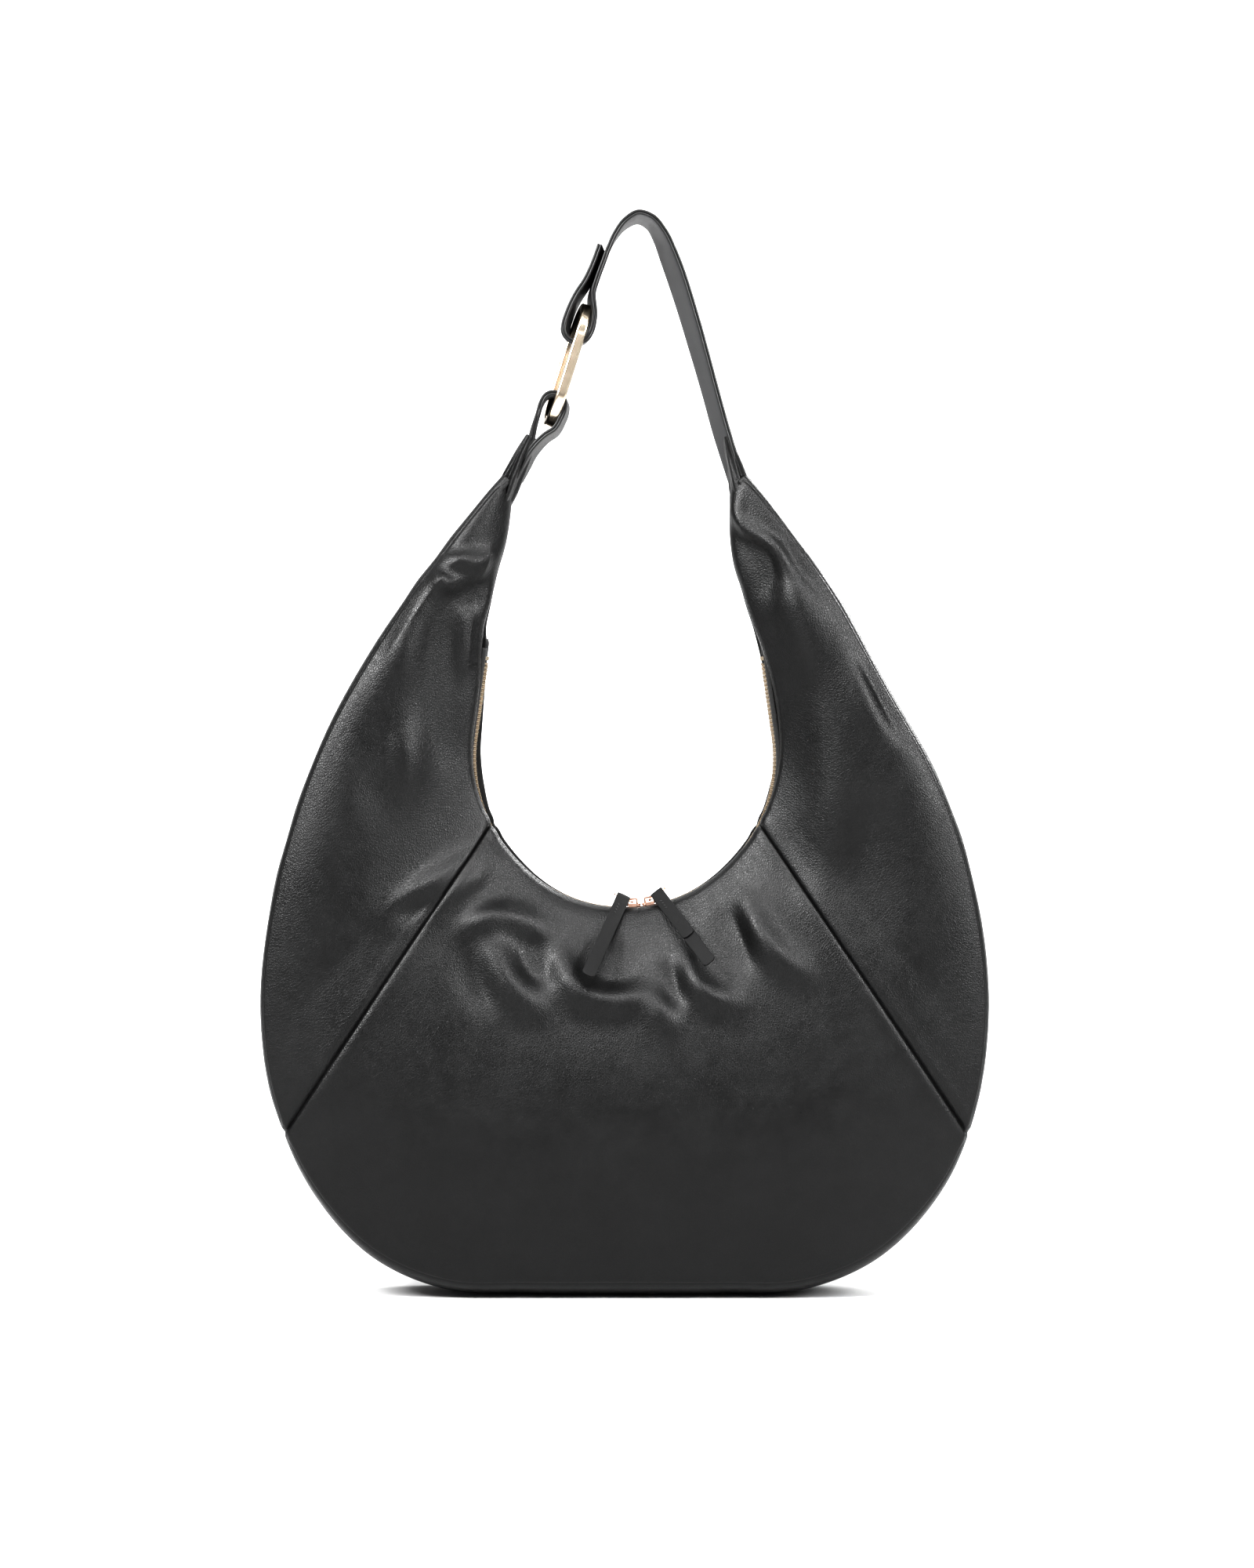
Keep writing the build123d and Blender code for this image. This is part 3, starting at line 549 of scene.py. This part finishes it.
def polished_gold(name, tint, deep, roughness):
    """Plated zinc: nearly a mirror, with faint polishing lines and a slightly deeper tone in patches."""
    material, start = new_finish(name)
    place = start.node("ShaderNodeTexCoord", output="Object")
    cloud = start.node("ShaderNodeTexNoise", sockets={"Vector": place, "Scale": 180, "Detail": 3.0})
    brushed = start.node("ShaderNodeMapping", sockets={"Vector": place, "Scale": (9000, 300, 900)})
    lines = start.node("ShaderNodeTexNoise", sockets={"Vector": brushed, "Scale": 1.0, "Detail": 2.0})
    tone = start.node("ShaderNodeMix", {"data_type": "RGBA"},
                      {0: cloud, 6: (*deep, 1), 7: (*tint, 1)}, output=2)
    bump = start.node("ShaderNodeBump", sockets={"Strength": 0.05, "Distance": 0.00005, "Height": lines})
    shader = start.node("ShaderNodeBsdfPrincipled", sockets={
        "Base Color": tone, "Metallic": 1.0, "Roughness": roughness + 0.08 * (cloud - 0.5) + 0.05 * lines,
        "Normal": bump})
    start.node("ShaderNodeOutputMaterial", sockets={"Surface": shader})
    return material


pale_gold = polished_gold("pale_gold_plate", (0.93, 0.83, 0.69), (0.8, 0.68, 0.53), 0.16)
rose_gold = polished_gold("rose_gold_plate", (0.9, 0.63, 0.5), (0.78, 0.5, 0.39), 0.2)

half_chain = CHAIN_RADIUS * MOUTH_TURN + RISE - END_MARGIN
for side, face in ((-1, "front"), (1, "back")):
    mesh = bmesh.new()
    for k in range(-int(half_chain / TOOTH_PITCH), int(half_chain / TOOTH_PITCH)):
        along = (k + (0.25 if side < 0 else 0.75)) * TOOTH_PITCH
        apart = SLIDER_GAP if abs(along - MEETING) < SLIDER_REACH else 0.0
        seat = chain_frame(along) @ Matrix.Translation((0, side * apart, 0))
        for size, centre in (TOOTH_FOOT, TOOTH_HEAD):
            scale = Matrix.Diagonal((*size, 1))
            bmesh.ops.create_cube(mesh, size=1, matrix=Matrix.Scale(0.001, 4) @ seat
                                  @ Matrix.Translation((0, side * centre, 0)) @ scale)
    bmesh.ops.bevel(mesh, geom=mesh.edges[:], offset=0.00022, affect="EDGES", segments=1, profile=0.5,
                    material=-1)
    row = made_piece(f"{face}_teeth_row", mesh, smooth=False)
    row.data.materials.append(pale_gold)
    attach(row, "bag")
    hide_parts(f"{face}_zipper_teeth")


def woven(name, dark, light, pitch, roughness=0.85):
    """Tight twill weave: slanting ribs with a crossing thread, pitch in mm."""
    material, start = new_finish(name)
    place = start.node("ShaderNodeTexCoord", output="Object")
    warp = start.node("ShaderNodeTexWave", {"bands_direction": "DIAGONAL"},
                      {"Vector": place, "Scale": 314 / pitch})
    weft = start.node("ShaderNodeTexWave", {"bands_direction": "Z"}, {"Vector": place, "Scale": 400 / pitch})
    wear = start.node("ShaderNodeTexNoise", sockets={"Vector": place, "Scale": 60, "Detail": 3.0})
    weave = warp * 0.65 + weft * 0.35
    tone = start.node("ShaderNodeMix", {"data_type": "RGBA", "clamp_factor": True},
                      {0: weave * 0.8 + (wear - 0.5) * 0.8, 6: (*dark, 1), 7: (*light, 1)}, output=2)
    bump = start.node("ShaderNodeBump", sockets={"Strength": 0.7, "Distance": 0.00015, "Height": weave})
    shader = start.node("ShaderNodeBsdfPrincipled", sockets={
        "Base Color": tone, "Roughness": roughness + 0.1 * (wear - 0.5), "Normal": bump,
        "Sheen Weight": 0.15})
    start.node("ShaderNodeOutputMaterial", sockets={"Surface": shader})
    return material


tape_weave = woven("black_zipper_tape", (0.003, 0.003, 0.003), (0.01, 0.01, 0.01), 0.8)


def tape_place(side):
    def place(u, v):
        along = (2 * u - 1) * (TAPE_RADIUS * MOUTH_TURN + RISE - 1)
        reach = np.abs(along)
        turn = np.minimum(reach / TAPE_RADIUS, MOUTH_TURN)
        rest = reach - turn * TAPE_RADIUS
        drop = TAPE_DROP * np.clip((v - 0.45) / 0.55, 0, 1) ** 1.5
        radius = TAPE_RADIUS + drop
        x = np.sign(along) * (radius * np.sin(turn) + rest * cos(MOUTH_TURN))
        z = MOUTH_CENTRE - radius * np.cos(turn) + rest * sin(MOUTH_TURN)
        return np.stack([x, side * (1.9 + 4.6 * v), z], -1)
    return place


for side, face in ((-1, "front"), (1, "back")):
    tape = grid_piece(f"{face}_woven_tape", 260, 6, tape_place(side))
    if side > 0:
        tape.data.flip_normals()
    thicken(tape, TAPE_THICKNESS, 0.0)
    tape.data.materials.append(tape_weave)
    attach(tape, "bag")
    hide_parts(f"{face}_zipper_tape")
frame["nodes"]["zipper_end_stops"].data.materials[0] = pale_gold

smooth_hide = leather("smooth_edge_hide", (0.004, 0.004, 0.004), (0.009, 0.009, 0.0092), grain=0.7,
                      roughness=0.5, depth=0.08)
for way, name in ((-1, "left"), (1, "right")):
    def end_tab_place(u, v, way=way):
        length, half = 12.0, 4.6
        a = (u - 0.5) * length
        narrow = np.clip((np.abs(a) - length / 2 + 2.4) / 2.4, 0, 1)
        y = (v - 0.5) * 2 * half * (1 - narrow * 0.16)
        crown = 0.3 - 0.09 * y**2 - 1.2 * np.clip((a - 2) / 4, 0, 1) ** 2
        seat = chain_frame(way * (CHAIN_RADIUS * MOUTH_TURN + RISE - 0.5))
        run, up, middle = seat.col[0].xyz * way, seat.col[2].xyz, seat.translation
        return np.stack([middle.x + run.x * a + up.x * crown, y, middle.z + run.z * a + up.z * crown], -1)
    tab = grid_piece(f"{name}_end_tab_hide", 12, 10, end_tab_place)
    if way < 0:
        tab.data.flip_normals()
    thicken(tab, 1.3)
    soften = tab.modifiers.new("rounding", "SUBSURF")
    soften.levels = soften.render_levels = 1
    tab.data.materials.append(smooth_hide)
    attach(tab, "bag")
    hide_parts(f"{name}_zipper_end_tab")

# ---------------------------------------------------------------- Sliders and puller rings
# Each slider is a die-cast pair of plates with a bridge on top, and a bent wire ring hangs in the bridge.
for name in ("left", "right"):
    frame["nodes"][f"{name}_slider"].data.materials[0] = rose_gold
    frame["nodes"][f"{name}_puller_ring"].data.materials[0] = rose_gold

# ---------------------------------------------------------------- Leather pulls
# A narrow strip of matt hide is folded through the ring and caught with four small stitches.
# The left pull has its long leg in front, the right pull has it behind.
PULL_WIDTH, PULL_HIDE, PULL_SLOPE = 8.4, 1.25, radians(42.5)
FOLD_RADIUS, LEG_GAP, CLOSE_UP = 1.6, 0.12, 7  # the legs come this close, this far below the fold
LONG_LEG, SHORT_LEG = 70.0, 45.0
PULL_STITCHES, PULL_STITCH, PULL_STITCH_PITCH, PULL_THREAD = 4, 1.7, 2.4, 0.5
pull_hide = leather("matt_pull_hide", (0.0045, 0.0045, 0.0046), (0.0095, 0.0095, 0.0097), grain=0.55,
                    roughness=0.62, depth=0.05, specular=0.25)
joints = {joint["name"]: joint for joint in frame["joints"]}
for way, name, front_leg, back_leg in ((-1, "left", LONG_LEG, SHORT_LEG), (1, "right", SHORT_LEG, LONG_LEG)):
    joint = joints[f"pull_{name}_swing"]
    origin = np.array(joint["pos_m"]) * 1000
    bar = np.array(joint["axis"]) * -way
    down = np.cross([0, way, 0], bar)
    down /= np.linalg.norm(down)
    leg = down * cos(PULL_SLOPE) + np.array([0, -1, 0]) * sin(PULL_SLOPE)
    rise = np.cross(bar, leg) * -way
    half_turn = pi * FOLD_RADIUS
    total = front_leg + half_turn + back_leg

    def pull_path(s):
        """Distance down the pull and height off it at s mm along the strip from its front end."""
        angle = np.clip((s - front_leg) / FOLD_RADIUS, 0, pi)
        past = np.clip(s - front_leg - half_turn, 0, None)
        lift = (1 - np.cos(np.clip(past / CLOSE_UP, 0, 1) * pi)) / 2 * (2 * FOLD_RADIUS - PULL_HIDE - LEG_GAP)
        along = np.clip(front_leg - s, 0, None) + past - FOLD_RADIUS * np.sin(angle)
        bow = 1.1 * np.sin(pi * np.clip(along / LONG_LEG, 0, 1)) \
            - 0.9 * np.clip((along - 52) / 18, 0, 1) ** 2
        return along, FOLD_RADIUS * np.cos(angle) + lift + bow

    def pull_place(u, v):
        s = u * total
        end = np.minimum(s, total - s)
        corner = 2.2
        arc = corner - np.sqrt(np.maximum(corner**2 - (corner - end) ** 2, 0))
        round_off = np.where(end < corner, arc, 0)
        across = (v - 0.5) * 2 * (PULL_WIDTH / 2 - round_off)
        along, lift = pull_path(s)
        lift = lift - 0.015 * across**2
        return origin + np.outer(across, bar) + np.outer(along, leg) + np.outer(lift, rise)

    strip = grid_piece(f"{name}_pull_strip", 96, 8, pull_place)
    thicken(strip, PULL_HIDE, 0.0)
    round_edges(strip, 0.35)
    strip.data.materials.append(pull_hide)
    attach(strip, f"pull_{name}")
    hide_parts(f"{name}_leather_pull")
    spots = []
    for k in range(PULL_STITCHES):
        along, lift = pull_path(np.array([front_leg - 8.5 - PULL_STITCH_PITCH * k]))
        at = origin + along[0] * leg + (lift[0] + PULL_HIDE / 2 + THREAD_PROUD) * rise + bar * (-way * 0.8)
        spots.append((at, leg * 0.45 + bar * way * 0.55, rise))
    place_stitches(f"{name}_pull_thread", spots, PULL_STITCH, PULL_THREAD, f"pull_{name}", waxed_thread,
                   f"{name}_pull_stitches")

# ---------------------------------------------------------------- Oval link
# A polished flat-sided oval, cast and plated pale gold. It joins the two leather loops of the handle.
frame["nodes"]["ring_link"].data.materials[0] = pale_gold

# ---------------------------------------------------------------- Strap and link tab
# Two layers of hide cemented back to back, with painted edges: pebbled outside, smooth grey-black inside.
# The strap's end is folded round the top of the link and sewn to itself. The short tab does the same below.
LAYER, CEMENT_GAP = 1.7, 0.12
BAR_STITCH, BAR_THREAD = 2.2, 0.6
LINK_MIDDLE, LINK_LEAN = (-35.8, 578.0), radians(17.4)


def link_at(along, across):
    """A point by its place on the link: up its long side from the middle, and across to the right."""
    return (LINK_MIDDLE[0] + along * sin(LINK_LEAN) + across * cos(LINK_LEAN),
            LINK_MIDDLE[1] + along * cos(LINK_LEAN) - across * sin(LINK_LEAN))


def loop_round(centre, radius, first, last):
    """Points on the round of a leather loop, by angle from straight right on the link."""
    return [link_at(centre[0] + radius * sin(radians(a)), centre[1] + radius * cos(radians(a)))
            for a in np.linspace(first, last, 7)]


def ribbon_place(points, offset, twist, width):
    """Lays a layer along points, this far to the left of travel.

    Twist gives (share of the way, degrees about its run) and width gives (share of the way, width).
    """
    line = np.array(points, float)
    chord = lengths_along(line)
    share = chord / chord[-1]
    knots = np.stack([share, line[:, 0]], 1), np.stack([share, line[:, 1]], 1)

    def place(u, v):
        step = 2e-3
        x, z = through(knots[0], u), through(knots[1], u)
        low, high = np.clip(u - step, 0, 1), np.clip(u + step, 0, 1)
        run = np.stack([through(knots[0], high) - through(knots[0], low), 0 * u,
                        through(knots[1], high) - through(knots[1], low)], -1)
        run /= np.linalg.norm(run, axis=1, keepdims=True)
        turn = np.radians(through(twist, u))[:, None]
        level = np.tile([0.0, 1.0, 0.0], (len(u), 1))
        across = level * np.cos(turn) + np.cross(run, level) * np.sin(turn)
        left = np.cross(run, across)
        reach = through(width, u) * (v - 0.5)
        return np.stack([x, 0 * x, z], -1) + left * offset + across * reach[:, None]
    return place


strap_points = [(-14.6, 652.0), (-18.3, 641.5), (-23.2, 630.5), link_at(41, -7.0), link_at(31, -8.2),
                *loop_round((22.6, -0.4), 7.7, 180, 360), link_at(32, 6.6), (-20.4, 623.0), (-18.4, 629.5),
                (-14.1, 641.0), (-10.6, 650.0), (-6.0, 659.2), (0.6, 667.0), (8.6, 670.8), (16.2, 667.6),
                (22.4, 658.8), (27.6, 646.5), (32.4, 633.5), (39.9, 610.0), (46.9, 586.0), (53.6, 562.0),
                (60.2, 538.0), (65.6, 520.0), (70.0, 505.0)]
strap_twist = [(0, 3), (0.1, 3), (0.3, 4), (0.45, 0), (0.55, -11), (0.7, -14), (0.85, -15), (1, -22)]
strap_width = [(0, 29), (0.02, 30), (0.8, 30), (0.9, 26), (1, 18)]
tab_points = [(-69.5, 509.0), (-64.6, 518.0), (-60.0, 527.0), link_at(-41, -8.4), link_at(-35, -8.4),
              *loop_round((-27.0, -0.5), 7.8, 180, 0), link_at(-34, 7.0), link_at(-41, 5.4),
              link_at(-47, 0.8),
              (-57.6, 523.6), (-62.0, 515.6), (-66.8, 506.6)]
tab_twist = [(0, 10), (0.3, 3), (0.7, 3), (1, 10)]
tab_width = [(0, 20), (0.12, 26), (0.25, 30), (0.75, 30), (0.88, 26), (1, 20)]

inner_hide = leather("smooth_strap_inside", (0.013, 0.0133, 0.014), (0.032, 0.0325, 0.0335), grain=0.8,
                     roughness=0.42, depth=0.07)
strap_hide = leather("strap_hide", (0.004, 0.004, 0.0041), (0.01, 0.01, 0.0102), grain=0.9, roughness=0.42)
edge_paint, start = new_finish("painted_edge")
place = start.node("ShaderNodeTexCoord", output="Object")
brushed = start.node("ShaderNodeTexNoise", sockets={"Vector": place, "Scale": 700, "Detail": 3.0})
tone = start.node("ShaderNodeMix", {"data_type": "RGBA"}, {0: brushed, 6: (0.0035, 0.0035, 0.0036, 1),
                                                           7: (0.009, 0.009, 0.0092, 1)}, output=2)
bump = start.node("ShaderNodeBump", sockets={"Strength": 0.3, "Distance": 0.0001, "Height": brushed})
shader = start.node("ShaderNodeBsdfPrincipled", sockets={
    "Base Color": tone, "Roughness": 0.3 + 0.15 * brushed, "Normal": bump})
start.node("ShaderNodeOutputMaterial", sockets={"Surface": shader})

for name, points, twist, width, count in (("strap", strap_points, strap_twist, strap_width, 420),
                                          ("link_tab", tab_points, tab_twist, tab_width, 200)):
    for layer, offset, face in (("outer", LAYER / 2, strap_hide), ("lining", -LAYER / 2, inner_hide)):
        ribbon = grid_piece(f"{name}_{layer}_layer", count, 6, ribbon_place(points, offset, twist, width))
        thicken(ribbon, LAYER - CEMENT_GAP, 0.0).material_offset_rim = 1
        round_edges(ribbon, 0.55)
        ribbon.data.materials.append(face)
        ribbon.data.materials.append(edge_paint)
        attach(ribbon, "handle")
        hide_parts(f"{name}_{layer}")
        "black_leather" if layer == "outer" else "strap_inner_leather"
for name, corner, run in (("strap", (-25.1, 630.3), (-0.39, -0.92)),
                          ("link_tab", (-62.6, 527.2), (0.5, 0.86))):
    out = Vector((run[1], 0, -run[0])).normalized() * (-1 if run[1] > 0 else 1)
    spots = [((corner[0], y, corner[1]), (0, 1, 0), out) for y in np.arange(-12, 12.1, 3.0)]
    place_stitches(f"{name}_bar_thread", spots, BAR_STITCH, BAR_THREAD, "handle", waxed_thread,
                   f"{name}_stitches")

# ---------------------------------------------------------------- Necks
# The hide of each arm is gathered tight round the end of the strap or tab and sewn through.
necks = {
    "left": ([(-80.0, 480.0), (-77.4, 490.0), (-74.0, 499.0), (-70.6, 507.0), (-66.6, 515.0), (-62.2, 524.0),
              (-57.6, 532.5)],
             [(0, 4.5), (0.2, 5.2), (0.35, 5.9), (0.6, 5.6), (0.85, 5.0), (1, 4.4)],
             [(0, 6.5), (0.2, 8.5), (0.4, 10.5), (0.7, 12.2), (1, 14.5)], 5, 0.6),
    "right": ([(76.5, 480.0), (74.5, 490.0), (72.4, 499.0), (71.2, 506.0), (69.2, 514.0), (66.6, 523.0),
               (64.0, 533.0)],
              [(0, 4.5), (0.2, 5.4), (0.35, 5.9), (0.6, 5.2), (0.8, 4.1), (1, 2.5)],
              [(0, 6.5), (0.2, 8.5), (0.4, 10.5), (0.7, 11.5), (1, 12.5)], 4, 2.2),
}
for name, (points, reach, deep, pleats, phase) in necks.items():
    line = np.array(points, float)
    chord = lengths_along(line)
    chord /= chord[-1]
    knots = np.stack([chord, line[:, 0]], 1), np.stack([chord, line[:, 1]], 1)

    def neck_place(u, v):
        x, z = through(knots[0], u), through(knots[1], u)
        low, high = np.clip(u - 0.01, 0, 1), np.clip(u + 0.01, 0, 1)
        run = np.stack([through(knots[0], high) - through(knots[0], low),
                        through(knots[1], high) - through(knots[1], low)])
        run /= np.linalg.norm(run, axis=0)
        angle = 2 * pi * v
        pleat = 1 + 0.15 * np.sin(pleats * angle + phase + 2.6 * u) * np.sin(pi * np.clip(u * 1.1, 0, 1)) \
            + 0.05 * np.sin(9 * angle + 4 * u)
        side = through(reach, u) * np.sign(np.cos(angle)) * np.abs(np.cos(angle)) ** 0.8 * pleat
        y = through(deep, u) * np.sign(np.sin(angle)) * np.abs(np.sin(angle)) ** 0.8 * pleat
        return np.stack([x + run[1] * side, y, z - run[0] * side], -1)
    wrap = grid_piece(f"{name}_neck_gather", 60, 72, neck_place)
    seam = bmesh.new()
    seam.from_mesh(wrap.data)
    bmesh.ops.remove_doubles(seam, verts=seam.verts, dist=1e-6)
    bmesh.ops.recalc_face_normals(seam, faces=seam.faces)
    seam.to_mesh(wrap.data)
    seam.free()
    thicken(wrap, 1.2)
    wrap.data.materials.append(hide)
    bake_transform(wrap)
    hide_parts(f"{name}_neck")

# ---------------------------------------------------------------- Linings, pocket and base board
# The twill linings, the slip pocket on the back one and the thin base board keep their plain CAD shapes.
lining_twill = woven("lining_twill", (0.05, 0.04, 0.032), (0.11, 0.092, 0.077), 1.0)
board_finish = woven("pressed_board", (0.05, 0.05, 0.05), (0.12, 0.12, 0.12), 2.2)
for node in ("front_lining", "back_lining", "gusset_lining", "slip_pocket"):
    frame["nodes"][node].data.materials[0] = lining_twill
frame["nodes"]["base_stiffener"].data.materials[0] = board_finish

# ---------------------------------------------------------------- Stage
# A plain pale floor that curves up behind the bag, soft studio light, and a level camera in front.
CAMERA_DISTANCE, CAMERA_HEIGHT, CAMERA_X = 2.722, 0.3165, 0.0015
floor = bmesh.new()
bmesh.ops.create_grid(floor, x_segments=2, y_segments=24, size=0.5)
for vertex in floor.verts:
    reach = (vertex.co.y + 0.5) * 24
    bend = min(max((reach - 11.0) / 6.0, 0), 1) * pi / 2
    vertex.co = Vector((vertex.co.x * 30, -7 + min(reach, 11) + 3.8 * sin(bend),
                        -0.0005 + 3.8 * (1 - cos(bend)) + max(reach - 17, 0)))
backdrop = made_piece("studio_floor", floor)
paper, start = new_finish("pale_paper")
shader = start.node("ShaderNodeBsdfPrincipled", sockets={
    "Base Color": (0.58, 0.58, 0.58, 1), "Roughness": 0.9, "Specular IOR Level": 0.1})
start.node("ShaderNodeOutputMaterial", sockets={"Surface": shader})
backdrop.data.materials.append(paper)

world = bpy.data.worlds.new("studio")
bpy.context.scene.world = world
world.use_nodes = True
world.node_tree.nodes["Background"].inputs[0].default_value = (1.0, 1.0, 1.0, 1)
world.node_tree.nodes["Background"].inputs[1].default_value = 0.6
bpy.context.scene.view_settings.view_transform = "Standard"
bpy.context.scene.view_settings.gamma = 0.72


def softbox(name, place, aim, size, power):
    """A soft rectangular lamp."""
    lamp = bpy.data.lights.new(name, "AREA")
    lamp.shape, lamp.size, lamp.size_y, lamp.energy = "RECTANGLE", size[0], size[1], power
    holder = bpy.data.objects.new(name, lamp)
    holder.location = place
    holder.rotation_euler = (Vector(aim) - Vector(place)).to_track_quat("-Z", "Y").to_euler()
    bpy.context.scene.collection.objects.link(holder)


softbox("key_softbox", (-1.3, -1.2, 1.5), (0, 0, 0.32), (0.5, 0.8), 115)
softbox("fill_softbox", (1.4, -1.1, 1.1), (0, 0, 0.3), (0.4, 1.0), 66)
softbox("top_softbox", (0.1, -1.1, 1.9), (0, 0, 0.25), (1.1, 0.45), 50)
softbox("rear_softbox", (1.3, 1.5, 1.5), (0, 0, 0.3), (0.6, 0.9), 60)
softbox("left_card", (-0.85, -2.7, 0.95), (0, 0, 0.58), (0.25, 0.5), 1.0)
softbox("right_card", (0.85, -2.7, 0.95), (0, 0, 0.58), (0.25, 0.5), 1.0)
softbox("floor_lamp", (0, 2.0, 2.4), (0, 3.8, 0), (4.0, 0.6), 260)
softbox("backdrop_left", (-2.4, 2.0, 2.6), (-0.5, 8.0, 1.5), (2.0, 2.0), 330)
softbox("backdrop_right", (2.4, 2.0, 2.6), (0.5, 8.0, 1.5), (2.0, 2.0), 330)

camera = bpy.data.cameras.new("camera")
camera.lens, camera.sensor_width, camera.sensor_fit = 100, 36, "AUTO"
camera.clip_end = 60
viewer = bpy.data.objects.new("camera", camera)
viewer.location = (CAMERA_X, -CAMERA_DISTANCE, CAMERA_HEIGHT)
viewer.rotation_euler = (radians(90), 0, 0)
bpy.context.scene.collection.objects.link(viewer)
bpy.context.scene.camera = viewer
